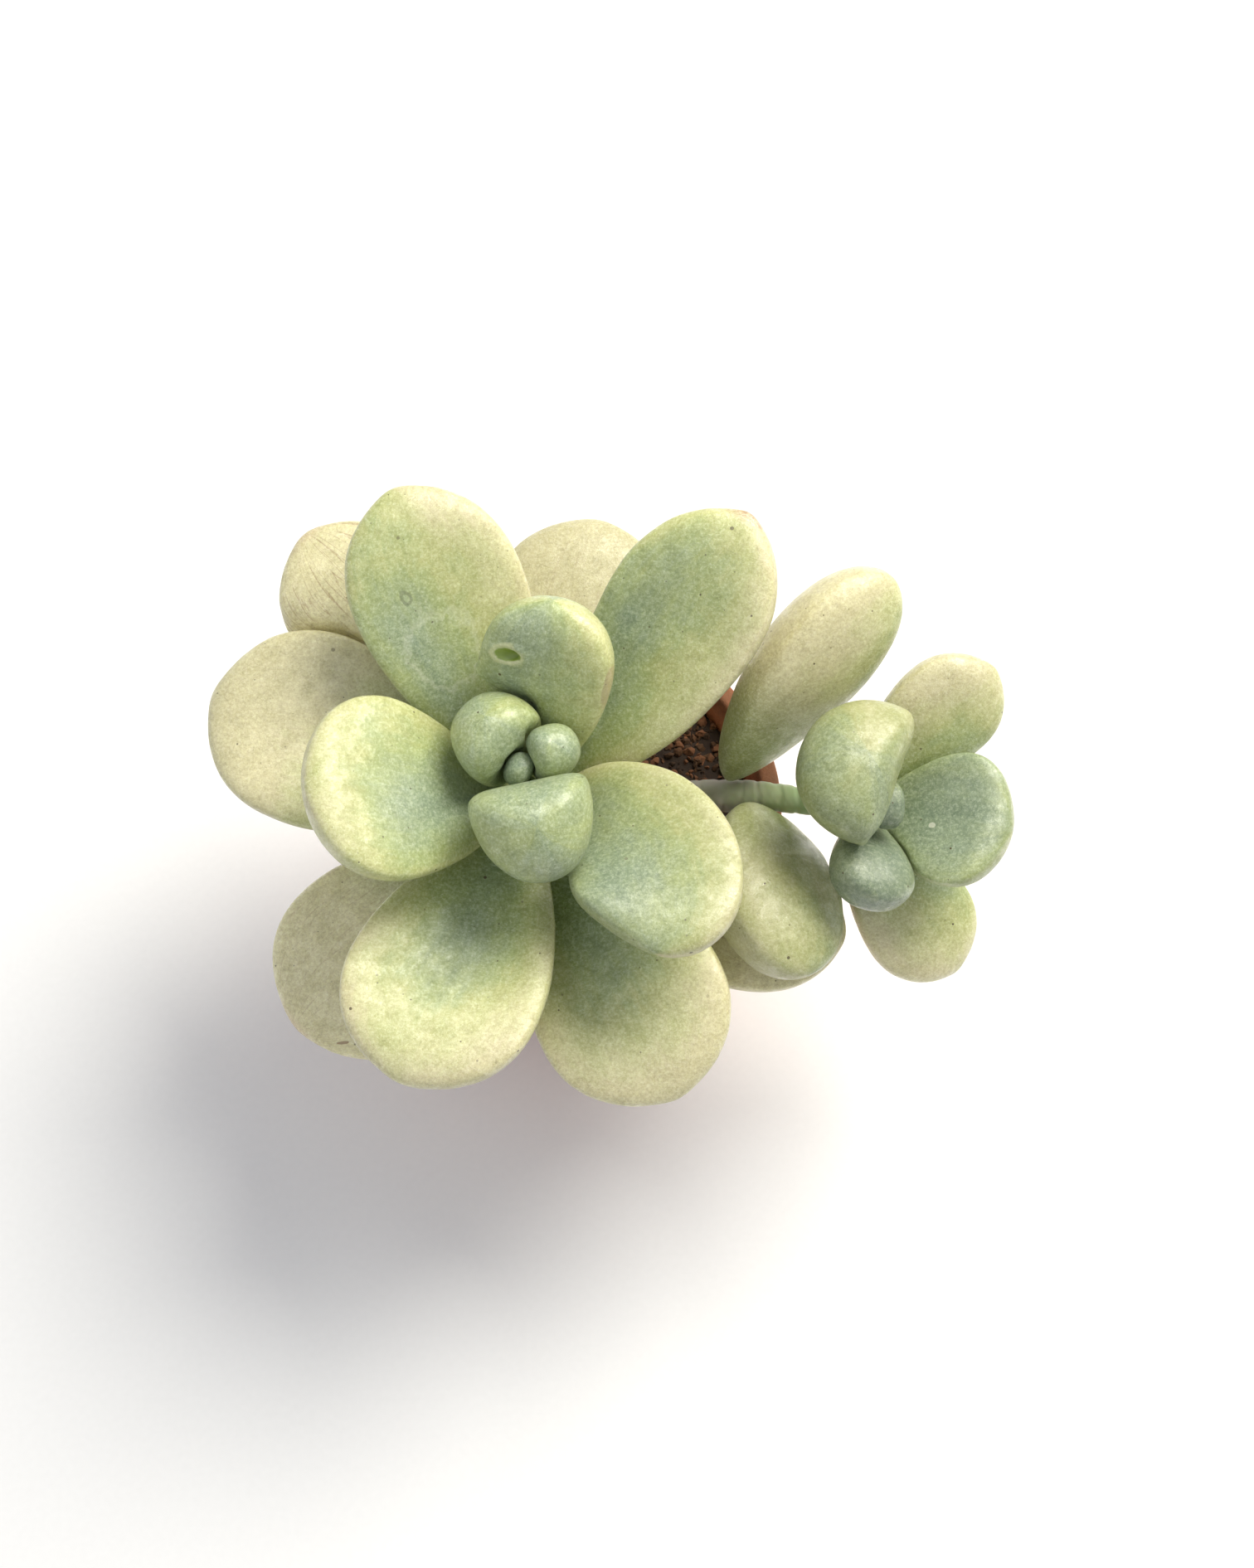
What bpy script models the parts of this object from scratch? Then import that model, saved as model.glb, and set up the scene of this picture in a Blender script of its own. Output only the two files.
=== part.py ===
"""A variegated rosette succulent with one side shoot, growing in a small clay pot.

The plant is built the way it grows: a forked stem carries fat, spoon-shaped leaves. Each leaf
sits at its own depth below a growing tip, and most leaves of the main rosette stand some 110
to 155 degrees on from the one before, about the golden angle. The origin is the middle of the
pot's foot, on the surface that it stands on. +X points to the side shoot and +Z is up. Sizes
are metres, apart from the stem and leaf tables, which are millimetres and degrees.
"""

import math
from collections import namedtuple

import bmesh
import bpy
from mathutils import Matrix, Vector
from mathutils.bvhtree import BVHTree

MM = 0.001
GAP = 0.0003  # air between pieces that touch

# Clay pot
POT_HEIGHT = 0.046
POT_FOOT_RADIUS = 0.0205
POT_RIM_RADIUS = 0.0308
POT_COLLAR_HEIGHT = 0.0130
POT_COLLAR_STEP = 0.0014
POT_COLLAR_TAPER = 0.0004
POT_WALL = 0.0027
POT_FLOOR = 0.0040
POT_EDGE_RADIUS = 0.0008
DRAIN_HOLE_RADIUS = 0.0018
DRAIN_HOLE_CIRCLE = 0.0095
DRAIN_HOLES = 3
POT_SEGMENTS = 48

# Soil
SOIL_BELOW_RIM = 0.0055
SOIL_CROWN = 0.0012
SOIL_GAP = 0.0004  # the soil against the pot's wall

# Stem
STEM_SOCKET_GAP = 0.0004

# Leaves
LEAF_SEGMENTS = 18
LEAF_RINGS = 13
LEAF_GAP = 0.0004  # a little over GAP, because faces are flat between their corners
LEAF_LEAST = 0.00005  # the nearest that a leaf's skin comes to its spine, so that corners stay apart
LEAF_EASINGS = 24  # how often a leaf gives way where its faces still touch a neighbour

Stem = namedtuple("Stem", "points radii")
Leaf = namedtuple("Leaf", "name turn seat rise curl sweep roll length width thick cup heel point")

# Each stem runs from its foot to its growing tip: (x, y, z) in millimetres, and its radius there.
MAIN_STEM = Stem(
    [(-3.8, -1.5, 26), (-4.0, -2.2, 42), (-4.7, -3.8, 55), (-5.2, -5.2, 64), (-5.4, -5.6, 73)],
    [3.4, 3.6, 3.4, 3.0, 1.6],
)
SIDE_STEM = Stem(
    [(-4.3, -2.7, 46.5), (8, 0.0, 47.8), (20.5, 0.8, 50),
     (30, -1.2, 54.5), (37, -4.3, 60), (42, -6.2, 65.5)],
    [2.6, 2.9, 2.9, 2.4, 2.0, 1.2],
)

# turn: the way the leaf points, seen from above; seat: how far below the tip its foot is;
# rise: its slope at the foot; curl: how much its slope changes by its point; sweep: the same
# for its turn; roll: its face turned about its length; cup: how far its margins stand up;
# heel: how broad its foot is; point: 0 for a round end, more for a pointed one.
MAIN_LEAVES = [
    Leaf("leaf_01", 160, 0.0, 110, 0, 0, 0, 8, 4.5, 3.5, 0.0, 0.42, 0.1),
    Leaf("leaf_02", 26, 1.0, 80, 0, 0, 0, 12.5, 7.0, 7.0, 0.0, 0.42, 0.08),
    Leaf("leaf_03", 132, 2.5, 77, -8, 0, 0, 15, 12, 10.0, 0.08, 0.42, 0.08),
    Leaf("leaf_04", 283, 4.0, 70, -8, 0, 0, 20.5, 16, 13, 0.14, 0.42, 0.15),
    Leaf("leaf_05", 74, 5.5, 61, -10, 5, 0, 28.5, 18, 9.5, 0.05, 0.42, 0.08),
    Leaf("leaf_06", 188.5, 7.0, 48, -15, 0, 0, 31.5, 25, 9.0, 0.05, 0.42, 0.1),
    Leaf("leaf_07", 353, 8.5, 40, -27, -100, 0, 35.2, 22.5, 9.0, 0.07, 0.47, 0.1),
    Leaf("leaf_08", 114, 10.0, 38, -15, 0, 0, 43.7, 23.5, 9.5, 0.06, 0.42, 0.17),
    Leaf("leaf_09", 248.5, 11.5, 30, -20, 0, 0, 40.3, 27, 9.5, 0.07, 0.42, 0.14),
    Leaf("leaf_10", 43, 13.0, 32, -10, 13, 0, 48, 22, 9.5, 0.06, 0.42, 0.2),
    Leaf("leaf_11", 161, 14.5, 20, -20, 0, 0, 43.8, 27.5, 9.5, 0.06, 0.42, 0.18),
    Leaf("leaf_12", 296.5, 16.0, 15, -20, 0, 0, 41.3, 27, 9.5, 0.07, 0.42, 0.17),
    Leaf("leaf_13", 78, 17.5, 12, -15, 0, 0, 39.5, 26, 9.0, 0.0, 0.42, 0.15),
    Leaf("leaf_14", 221, 19.0, 5, -15, 0, 0, 41.5, 28, 9.0, 0.0, 0.42, 0.15),
    Leaf("leaf_15", 130, 20.5, 24, -10, 0, 0, 48.0, 24, 8.5, 0.0, 0.42, 0.15),
    Leaf("leaf_16", 328, 20.0, 5, -11, 22, 0, 43, 22, 8.5, 0.0, 0.42, 0.15),
]
SIDE_LEAVES = [
    Leaf("side_leaf_1", 180, 0.0, 70, 0, 0, 0, 8.5, 6.5, 5, 0.0, 0.42, 0.05),
    Leaf("side_leaf_2", 243, 1.5, 32, 0, 0, 20, 15, 12, 8, 0.0, 0.5, 0.08),
    Leaf("side_leaf_3", 151, 3.2, 48, 0, 0, 0, 17, 20, 13.5, 0.1, 0.42, 0.1),
    Leaf("side_leaf_4", 341, 3.5, 66, 0, 0, 0, 20.5, 19, 8, 0.1, 0.42, 0.18),
    Leaf("side_leaf_5", 216, 19.3, 31, 0, 42, 35, 28, 18.5, 13, 0.0, 0.9, 0.0),
    Leaf("side_leaf_6", 56, 6, 37, 0, 0, -20, 26, 15, 8, 0.0, 0.42, 0.2),
    Leaf("side_leaf_7", 305, 7, 16, 0, 0, 20, 28, 17, 8, 0.0, 0.42, 0.2),
    Leaf("side_leaf_8", 129, 24.5, 41, 0, -54, -35, 39, 16.5, 12, 0.0, 0.6, 0.05),
]

LEAF_FULLNESS = 0.85
LEAF_UPPER = 0.36  # share of the thickness above the spine


def smooth_path(points, per_span=8):
    """A Catmull-Rom curve through points, as many points."""
    ends = [points[0] * 2 - points[1], *points, points[-1] * 2 - points[-2]]
    path = []
    for a, b, c, d in zip(ends, ends[1:], ends[2:], ends[3:]):
        for k in range(per_span):
            t = k / per_span
            path.append(
                0.5 * ((2 * b) + (c - a) * t + (2 * a - 5 * b + 4 * c - d) * t**2
                       + (3 * b - a - 3 * c + d) * t**3)
            )
    return [*path, points[-1].copy()]


def stem_at(stem, below_tip):
    """A stem's axis that far below its tip: the point, the way it heads there, and the radius."""
    path = smooth_path([Vector(p) * MM for p in stem.points])
    radii = smooth_path([Vector((r * MM, 0, 0)) for r in stem.radii])
    left = below_tip
    for k in range(len(path) - 1, 0, -1):
        step = path[k] - path[k - 1]
        if left <= step.length:
            share = left / step.length
            radius = radii[k].lerp(radii[k - 1], share).x
            return path[k] - step * share, step.normalized(), radius
        left -= step.length
    return path[0], (path[1] - path[0]).normalized(), radii[0].x


def growth_axes(way):
    """Three directions at a stem: two across it, the first as near to +X as it can be, and its own."""
    east = Vector((1, 0, 0))
    across = (east - way * east.dot(way)).normalized()
    return across, way.cross(across), way


def direction(axes, turn, rise):
    turn, rise = math.radians(turn), math.radians(rise)
    across = axes[0] * math.cos(turn) + axes[1] * math.sin(turn)
    return across * math.cos(rise) + axes[2] * math.sin(rise)


def leaf_spine(leaf, axes, t, steps=24):
    """A leaf's spine at t, from 0 at its foot to 1 at its point, and the ways left and up from it."""
    place = Vector()
    for k in range(steps):
        along = t * (k + 0.5) / steps
        ahead = direction(axes, leaf.turn + leaf.sweep * along, leaf.rise + leaf.curl * along)
        place += ahead * (leaf.length * MM * t / steps)
    ahead = direction(axes, leaf.turn + leaf.sweep * t, leaf.rise + leaf.curl * t)
    side = direction(axes, leaf.turn + leaf.sweep * t + 90, 0)
    roll = Matrix.Rotation(math.radians(leaf.roll), 3, ahead)
    return place, roll @ side, roll @ ahead.cross(side)


def fuller(share):
    """Squares the round cross-section a little, so that a margin is blunt and the face beside it flat."""
    return math.copysign(abs(share) ** LEAF_FULLNESS, share)


def leaf_point(leaf, axes, unit):
    """A leaf's spine and skin for a point of the unit sphere, whose poles are its foot and its tip."""
    t = (1 + unit.z) / 2
    ring = max(math.hypot(unit.x, unit.y), 1e-9)
    place, side, up = leaf_spine(leaf, axes, t)
    taper = (leaf.heel + (1 - leaf.heel) * t) / (0.6 + 0.4 * leaf.heel)
    narrowing = (1 - t**10) ** leaf.point
    across = fuller(unit.x / ring) * ring * taper * narrowing * leaf.width * MM / 2
    share = LEAF_UPPER if unit.y > 0 else 1 - LEAF_UPPER
    above = fuller(unit.y / ring) * ring * taper * share * leaf.thick * MM
    cupped = leaf.cup * (abs(across) / (leaf.width * MM / 2)) ** 2 * leaf.width * MM
    return place, place + side * across + up * (above + cupped)


def make_object(name, mesh, material):
    obj = bpy.data.objects.new(name, mesh)
    mesh.materials.append(material)
    PARTS.objects.link(obj)
    return obj


def touches(point, tree):
    """Whether point is nearer to a neighbour than a leaf may grow."""
    return tree.find_nearest(point, LEAF_GAP * 0.98)[0] is not None


def grow(spine, skin, obstacles):
    """How far a leaf's skin gets from its spine towards skin before it is LEAF_GAP from a neighbour."""
    way = skin - spine
    reach = way.length
    if reach < 0.00001:
        return skin
    way = way / reach
    for tree in obstacles:
        hit, normal, _, distance = tree.ray_cast(spine, way, reach + 0.01)
        if hit is not None and normal.dot(way) < 0:
            reach = min(reach, max(distance - LEAF_GAP, 0))
    for tree in obstacles:
        while reach > LEAF_LEAST and touches(spine + way * reach, tree):
            reach *= 0.97
    return spine + way * max(reach, LEAF_LEAST)


def too_near(point, obstacles):
    """Whether point is in a neighbour, or nearer to it than GAP."""
    for tree in obstacles:
        near, normal, _, distance = tree.find_nearest(point, 0.003)
        if near is not None and (distance < GAP or (point - near).dot(normal) < 0):
            return True
    return False


def make_leaf(leaf, stem, material, obstacles):
    foot, stem_way, stem_radius = stem_at(stem, leaf.seat * MM)
    axes = growth_axes(stem_way)
    foot = foot + direction(axes, leaf.turn, 0) * (stem_radius + LEAF_GAP)
    form = bmesh.new()
    bmesh.ops.create_uvsphere(form, u_segments=LEAF_SEGMENTS, v_segments=LEAF_RINGS, radius=1)
    spines = []
    for vertex in form.verts:
        spine, skin = leaf_point(leaf, axes, vertex.co)
        spines.append(foot + spine)
        vertex.co = grow(foot + spine, foot + skin, obstacles)
    for _ in range(LEAF_EASINGS):
        crowded = set()
        for flat in [*form.edges, *form.faces]:
            middle = sum((v.co for v in flat.verts), Vector()) / len(flat.verts)
            if too_near(middle, obstacles):
                crowded.update(flat.verts)
        if not crowded:
            break
        for vertex in crowded:
            vertex.co = spines[vertex.index].lerp(vertex.co, 0.95)
    bmesh.ops.recalc_face_normals(form, faces=form.faces)
    mesh = bpy.data.meshes.new(leaf.name)
    form.to_mesh(mesh)
    obstacles.append(BVHTree.FromBMesh(form))
    form.free()
    mesh.shade_smooth()
    return make_object(leaf.name, mesh, material)


def make_stem(name, material, extra=0.0):
    """Both stems as one forked skin, that much thicker all round."""
    main = smooth_path([Vector(p) * MM for p in MAIN_STEM.points], 2)
    main_radii = smooth_path([Vector((r * MM, 0, 0)) for r in MAIN_STEM.radii], 2)
    side = smooth_path([Vector(p) * MM for p in SIDE_STEM.points], 2)[2:]
    side_radii = smooth_path([Vector((r * MM, 0, 0)) for r in SIDE_STEM.radii], 2)[2:]
    mesh = bpy.data.meshes.new(name)
    count = len(main)
    edges = [(k, k + 1) for k in range(count - 1)]
    fork = min(range(count), key=lambda k: (main[k] - Vector(SIDE_STEM.points[0]) * MM).length)
    edges += [(fork, count)]
    edges += [(k, k + 1) for k in range(count, count + len(side) - 1)]
    mesh.from_pydata([*main, *side], edges, [])
    obj = make_object(name, mesh, material)
    obj.modifiers.new("Skin", "SKIN")
    for vertex, radius in zip(mesh.skin_vertices[0].data, [*main_radii, *side_radii]):
        vertex.radius = (radius.x + extra, radius.x + extra)
    mesh.skin_vertices[0].data[0].use_root = True
    rounded = obj.modifiers.new("Rounded", "SUBSURF")
    rounded.levels = rounded.render_levels = 1
    return obj


def skin_tree(obj):
    graph = bpy.context.evaluated_depsgraph_get()
    form = bmesh.new()
    form.from_object(obj, graph)
    tree = BVHTree.FromBMesh(form)
    form.free()
    return tree


def make_material(name, colour, roughness):
    material = bpy.data.materials.new(name)
    material.use_nodes = True
    shader = material.node_tree.nodes["Principled BSDF"]
    shader.inputs["Base Color"].default_value = (*colour, 1)
    shader.inputs["Roughness"].default_value = roughness
    return material


def turned(name, profile, material):
    """A solid turned about +Z from its closed outline, given as (radius, height)."""
    mesh = bpy.data.meshes.new(name)
    count = len(profile)
    ends = [(k, (k + 1) % count) for k in range(count)]
    mesh.from_pydata([(radius, 0, height) for radius, height in profile], ends, [])
    obj = make_object(name, mesh, material)
    screw = obj.modifiers.new("Turned", "SCREW")
    screw.steps = screw.render_steps = POT_SEGMENTS
    screw.use_merge_vertices = True
    screw.merge_threshold = 0.00001
    return obj


def as_cutter(obj):
    """Makes obj a tool for Booleans, which isn't part of the plant."""
    PARTS.objects.unlink(obj)
    CUTTERS.objects.link(obj)
    obj.hide_render = True
    obj.display_type = "WIRE"
    return obj


def cut(obj, tool):
    boolean = obj.modifiers.new(tool.name, "BOOLEAN")
    boolean.operation = "DIFFERENCE"
    boolean.solver = "EXACT"
    boolean.object = tool


def pot_inside(height):
    """The radius of the pot's inside at that height."""
    share = (height - POT_FLOOR) / (POT_HEIGHT - POT_FLOOR)
    return POT_FOOT_RADIUS + (POT_RIM_RADIUS - POT_FOOT_RADIUS) * share - POT_WALL


def make_pot(material):
    collar = POT_HEIGHT - POT_COLLAR_HEIGHT
    under_collar = POT_RIM_RADIUS - POT_COLLAR_STEP
    pot = turned("clay_pot", [
        (POT_RIM_RADIUS, POT_HEIGHT),
        (POT_RIM_RADIUS - POT_COLLAR_TAPER, collar),
        (under_collar - POT_COLLAR_TAPER, collar),
        (POT_FOOT_RADIUS, 0),
        (0, 0),
        (0, POT_FLOOR),
        (pot_inside(POT_FLOOR), POT_FLOOR),
        (pot_inside(POT_HEIGHT), POT_HEIGHT),
    ], material)
    edges = pot.modifiers.new("Worn edges", "BEVEL")
    edges.width = POT_EDGE_RADIUS
    edges.segments = 2
    edges.limit_method = "ANGLE"
    edges.angle_limit = math.radians(40)
    for k in range(DRAIN_HOLES):
        turn = 2 * math.pi * (k + 0.5) / DRAIN_HOLES
        bpy.ops.mesh.primitive_cylinder_add(
            vertices=20,
            radius=DRAIN_HOLE_RADIUS,
            depth=4 * POT_FLOOR,
            location=(DRAIN_HOLE_CIRCLE * math.cos(turn), DRAIN_HOLE_CIRCLE * math.sin(turn), 0),
        )
        drill = bpy.context.object
        drill.name = f"drain_hole_{k + 1}"
        for collection in list(drill.users_collection):
            collection.objects.unlink(drill)
        PARTS.objects.link(drill)
        cut(pot, as_cutter(drill))
    return pot


def make_soil(material):
    top = POT_HEIGHT - SOIL_BELOW_RIM
    bottom = POT_FLOOR + GAP
    return turned("soil", [
        (0, top + SOIL_CROWN),
        (pot_inside(top) * 0.5, top + SOIL_CROWN * 0.75),
        (pot_inside(top) - SOIL_GAP, top),
        (pot_inside(bottom) - SOIL_GAP, bottom),
        (0, bottom),
    ], material)


for old in list(bpy.data.objects):
    bpy.data.objects.remove(old)
PARTS = bpy.data.collections.new("potted_succulent")
CUTTERS = bpy.data.collections.new("cutters")
bpy.context.scene.collection.children.link(PARTS)
bpy.context.scene.collection.children.link(CUTTERS)

terracotta = make_material("terracotta", (0.45, 0.17, 0.09), 0.85)
potting_soil = make_material("potting_soil", (0.05, 0.03, 0.02), 0.95)
stem_skin = make_material("stem_skin", (0.42, 0.47, 0.30), 0.6)
leaf_skin = make_material("leaf_skin", (0.62, 0.70, 0.45), 0.5)

pot = make_pot(terracotta)
soil = make_soil(potting_soil)
stem = make_stem("stem", stem_skin)
cut(soil, as_cutter(make_stem("stem_socket", stem_skin, STEM_SOCKET_GAP)))
bpy.context.view_layer.update()

obstacles = [skin_tree(piece) for piece in (stem, pot, soil)]
for leaf in MAIN_LEAVES:
    make_leaf(leaf, MAIN_STEM, leaf_skin, obstacles)
for leaf in SIDE_LEAVES:
    make_leaf(leaf, SIDE_STEM, leaf_skin, obstacles)
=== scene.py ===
# %% [markdown]
# # A variegated rosette succulent in a clay pot
# The plant is a rosette of fat, powdery leaves with a second, smaller rosette on a side shoot.
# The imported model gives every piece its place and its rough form. This lesson gives each of
# them its real surface: smooth skin in place of flat faces, and the colours of the real thing.

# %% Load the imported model
import math
from collections import namedtuple

import bmesh
import bpy
import numpy as np
from mathutils import Matrix, Vector, noise
from mathutils.bvhtree import BVHTree


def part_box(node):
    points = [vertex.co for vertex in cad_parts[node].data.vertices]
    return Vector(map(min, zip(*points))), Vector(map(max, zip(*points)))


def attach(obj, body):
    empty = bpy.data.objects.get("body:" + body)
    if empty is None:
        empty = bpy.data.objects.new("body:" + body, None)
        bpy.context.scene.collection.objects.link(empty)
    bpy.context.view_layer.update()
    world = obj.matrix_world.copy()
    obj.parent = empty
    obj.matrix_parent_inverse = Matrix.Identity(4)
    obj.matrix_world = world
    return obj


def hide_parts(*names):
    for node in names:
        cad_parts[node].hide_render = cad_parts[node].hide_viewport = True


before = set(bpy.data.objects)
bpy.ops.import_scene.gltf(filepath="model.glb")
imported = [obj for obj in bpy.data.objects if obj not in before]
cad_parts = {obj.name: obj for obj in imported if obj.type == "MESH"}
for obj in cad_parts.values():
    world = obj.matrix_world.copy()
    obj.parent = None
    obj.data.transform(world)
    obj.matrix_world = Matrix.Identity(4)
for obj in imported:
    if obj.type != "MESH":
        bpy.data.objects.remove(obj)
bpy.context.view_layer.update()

MM = 0.001

# %% [markdown]
# ## Camera, floor and light
# The plant is looked at from steeply above, so that both rosettes face the lens. A long lens
# held some way off keeps the pot from looking squeezed. The table is pale and matte. A large
# soft lamp above the far right corner is the sun through a blind, and a pale sky fills in.

# %% Colours and nodes
# A colour is written the way a paint program shows it, and a shader wants it as amounts of light.
def linear(hex_colour):
    """An sRGB colour such as "C8D0A0", as the linear red, green, blue and alpha of a shader."""
    shares = [int(hex_colour[k:k + 2], 16) / 255 for k in (0, 2, 4)]
    return (*[s / 12.92 if s <= 0.04045 else ((s + 0.055) / 1.055) ** 2.4 for s in shares], 1.0)


def add(tree, kind, feeds=None, **settings):
    """A new node of that kind: settings are its properties, and feeds its inputs' links or values."""
    node = tree.nodes.new(kind)
    for name, value in settings.items():
        setattr(node, name, value)
    for name, value in (feeds or {}).items():
        if isinstance(value, bpy.types.NodeSocket):
            tree.links.new(value, node.inputs[name])
        else:
            node.inputs[name].default_value = value
    return node


def new_material(name):
    """A material with an empty Principled shader, its node tree and that shader."""
    material = bpy.data.materials.new(name)
    material.use_nodes = True
    tree = material.node_tree
    tree.nodes.clear()
    shader = add(tree, "ShaderNodeBsdfPrincipled")
    add(tree, "ShaderNodeOutputMaterial", {"Surface": shader.outputs[0]})
    return material, tree, shader


def millimetres(tree):
    """The place on the piece, counted in millimetres."""
    feeds = {0: add(tree, "ShaderNodeTexCoord").outputs["Object"], 1: (1 / MM,) * 3}
    return add(tree, "ShaderNodeVectorMath", feeds, operation="MULTIPLY").outputs[0]


def lumps(tree, place, size, detail=4.0, roughness=0.6):
    """Noise from 0 to 1 whose lumps are about that many millimetres wide."""
    feeds = {"Vector": place, "Scale": 1 / size, "Detail": detail, "Roughness": roughness}
    return add(tree, "ShaderNodeTexNoise", feeds).outputs[0]


def colours_along(tree, value, stops):
    """The colour for a value, from stops of (position, colour)."""
    node = add(tree, "ShaderNodeValToRGB", {"Fac": value})
    elements = node.color_ramp.elements
    while len(elements) < len(stops):
        elements.new(0.5)
    for element, (position, colour) in zip(elements, stops):
        element.position = position
        element.color = linear(colour)
    return node.outputs[0]


print("a cream leaf margin in linear light:", [round(share, 3) for share in linear("E0D7A8")])

# %% The camera
CAMERA_RISE = math.radians(70)
CAMERA_AWAY = 0.278
CAMERA_LENS = 44.47
LOOK_AT = Vector((0.008, 0.0016, 0.0526))

ahead = Vector((0, math.cos(CAMERA_RISE), -math.sin(CAMERA_RISE)))
lens = bpy.data.cameras.new("camera")
lens.lens = CAMERA_LENS
lens.sensor_width = 36
lens.clip_start = 0.01
camera = bpy.data.objects.new("camera", lens)
camera.location = LOOK_AT - ahead * CAMERA_AWAY
camera.rotation_euler = ahead.to_track_quat("-Z", "Y").to_euler()
bpy.context.scene.collection.objects.link(camera)
bpy.context.scene.camera = camera
bpy.context.scene.view_settings.view_transform = "Standard"
print("camera at", [round(x / MM, 1) for x in camera.location])

# %% The table
# The paper is matte: it gives no highlight, only a soft shadow, and its fibres are barely seen.
TABLE_SIDE = 6.0
FIBRE_MM = 10 / 9
table_mesh = bpy.data.meshes.new("table_top")
half = TABLE_SIDE / 2
corners = [(-half, -half, 0), (half, -half, 0), (half, half, 0), (-half, half, 0)]
table_mesh.from_pydata(corners, [], [(0, 1, 2, 3)])
table_top = bpy.data.objects.new("table_top", table_mesh)
bpy.context.scene.collection.objects.link(table_top)
paper, tree, shader = new_material("matte_white_paper")
fibres = lumps(tree, millimetres(tree), FIBRE_MM, 3.0, 0.5)
shade = add(tree, "ShaderNodeMapRange", {"Value": fibres, "To Min": 0.90, "To Max": 0.94}).outputs[0]
grey = add(tree, "ShaderNodeCombineColor", {0: shade, 1: shade, 2: shade}).outputs[0]
tree.links.new(grey, shader.inputs["Base Color"])
shader.inputs["Roughness"].default_value = 0.8
table_mesh.materials.append(paper)
print("table:", TABLE_SIDE, "m square")

# %% The lamps and the sky
# place and size in metres, power in watts; each lamp is a disk turned towards the plant.
SKY_STRENGTH = 0.48
Lamp = namedtuple("Lamp", "name place size power tint")
LAMPS = [
    Lamp("window", (0.26, 0.26, 0.54), 0.40, 4.9, "FFFBF0"),
    Lamp("fill", (-0.30, -0.20, 0.60), 0.50, 0.6, "F0F4FF"),
]
for lamp in LAMPS:
    light = bpy.data.lights.new(lamp.name, "AREA")
    light.shape = "DISK"
    light.size = lamp.size
    light.energy = lamp.power
    light.color = linear(lamp.tint)[:3]
    holder = bpy.data.objects.new(lamp.name, light)
    holder.location = lamp.place
    holder.rotation_euler = (LOOK_AT - Vector(lamp.place)).to_track_quat("-Z", "Y").to_euler()
    bpy.context.scene.collection.objects.link(holder)
sky = bpy.data.worlds.new("pale_sky")
sky.use_nodes = True
background = sky.node_tree.nodes["Background"]
background.inputs["Color"].default_value = linear("F4F6FA")
background.inputs["Strength"].default_value = SKY_STRENGTH
bpy.context.scene.world = sky
print("lamps:", [lamp.name for lamp in LAMPS])

# %% [markdown]
# ## Reading a leaf
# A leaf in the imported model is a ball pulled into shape: one corner at its foot, one at its
# point, and rings of corners between them. Found in that order, the rings give two things at
# once. A smooth skin can be drawn through them, and every place on it has a name: how far
# along the leaf it is, how far from the midrib, and whether it is above or below.

# %% Rings of a leaf
SAME_PLACE = 0.001 * MM


def merged(node):
    """A copy of a node's mesh with its loose triangles joined."""
    form = bmesh.new()
    form.from_mesh(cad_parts[node].data)
    bmesh.ops.remove_doubles(form, verts=form.verts, dist=SAME_PLACE)
    return form


def walked(ring, ahead):
    """The corners of a ring in order, anticlockwise as seen from the leaf's point."""
    left, path = set(ring), []
    corner = next(iter(ring))
    while corner is not None:
        left.discard(corner)
        path.append(corner)
        mates = [edge.other_vert(corner) for edge in corner.link_edges]
        corner = next((mate for mate in mates if mate in left), None)
    points = np.array([v.co for v in path], float)
    around = np.cross(points, np.roll(points, -1, axis=0)).sum(axis=0)
    return points if around @ ahead > 0 else points[::-1]


def leaf_rings(node, stem_tree):
    """A leaf's corners from its foot to its point, as an array of rings, corners and x, y, z."""
    form = merged(node)
    ends = sorted(form.verts, key=lambda v: -len(v.link_edges))[:2]
    foot, point = sorted(ends, key=lambda v: stem_tree.find_nearest(v.co)[3])
    rings, seen, last = [], {foot}, [foot]
    while True:
        ring = {edge.other_vert(v) for v in last for edge in v.link_edges} - seen
        if point in ring:
            break
        middle = sum((v.co for v in ring), Vector()) / len(ring)
        ahead = np.array(middle - sum((v.co for v in last), Vector()) / len(last))
        corners = walked(sorted(ring, key=lambda v: v.index), ahead)
        if rings:
            turns = [np.roll(corners, k, axis=0) for k in range(len(corners))]
            corners = min(turns, key=lambda c: np.linalg.norm(c - rings[-1], axis=1).sum())
        rings.append(corners)
        seen |= ring
        last = ring
    count = len(rings[0])
    rings = [np.tile(foot.co, (count, 1)), *rings, np.tile(point.co, (count, 1))]
    form.free()
    return np.array(rings)


stem_tree = BVHTree.FromBMesh(merged("stem"))
MAIN_NODES = sorted(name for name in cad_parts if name.startswith("leaf_"))
SIDE_NODES = sorted(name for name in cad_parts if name.startswith("side_leaf_"))
print("leaves:", len(MAIN_NODES), "and", len(SIDE_NODES))

# %% Turning the rings so that they start at a margin
def facing(rings, crown):
    """The rings rolled to start at the leaf's left margin and to climb over its upper side first."""
    middle = len(rings) // 2
    ring = rings[middle]
    half_way = len(ring) // 2
    heart = ring.mean(axis=0)
    ahead = rings[-1, 0] - rings[0, 0]
    ahead /= np.linalg.norm(ahead)
    above = crown - heart
    above -= ahead * (above @ ahead)
    left = np.cross(above, ahead)
    spans = [np.linalg.norm(ring[k] - ring[(k + half_way) % len(ring)]) for k in range(len(ring))]
    start = max(range(len(ring)), key=lambda k: spans[k] * ((ring[k] - heart) @ left > 0))
    rings = np.roll(rings, -start, axis=1)
    quarter = rings[middle, 1:half_way].mean(axis=0) - heart
    if quarter @ above < 0:
        rings = np.roll(rings[:, ::-1], 1, axis=1)
    return rings


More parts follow.
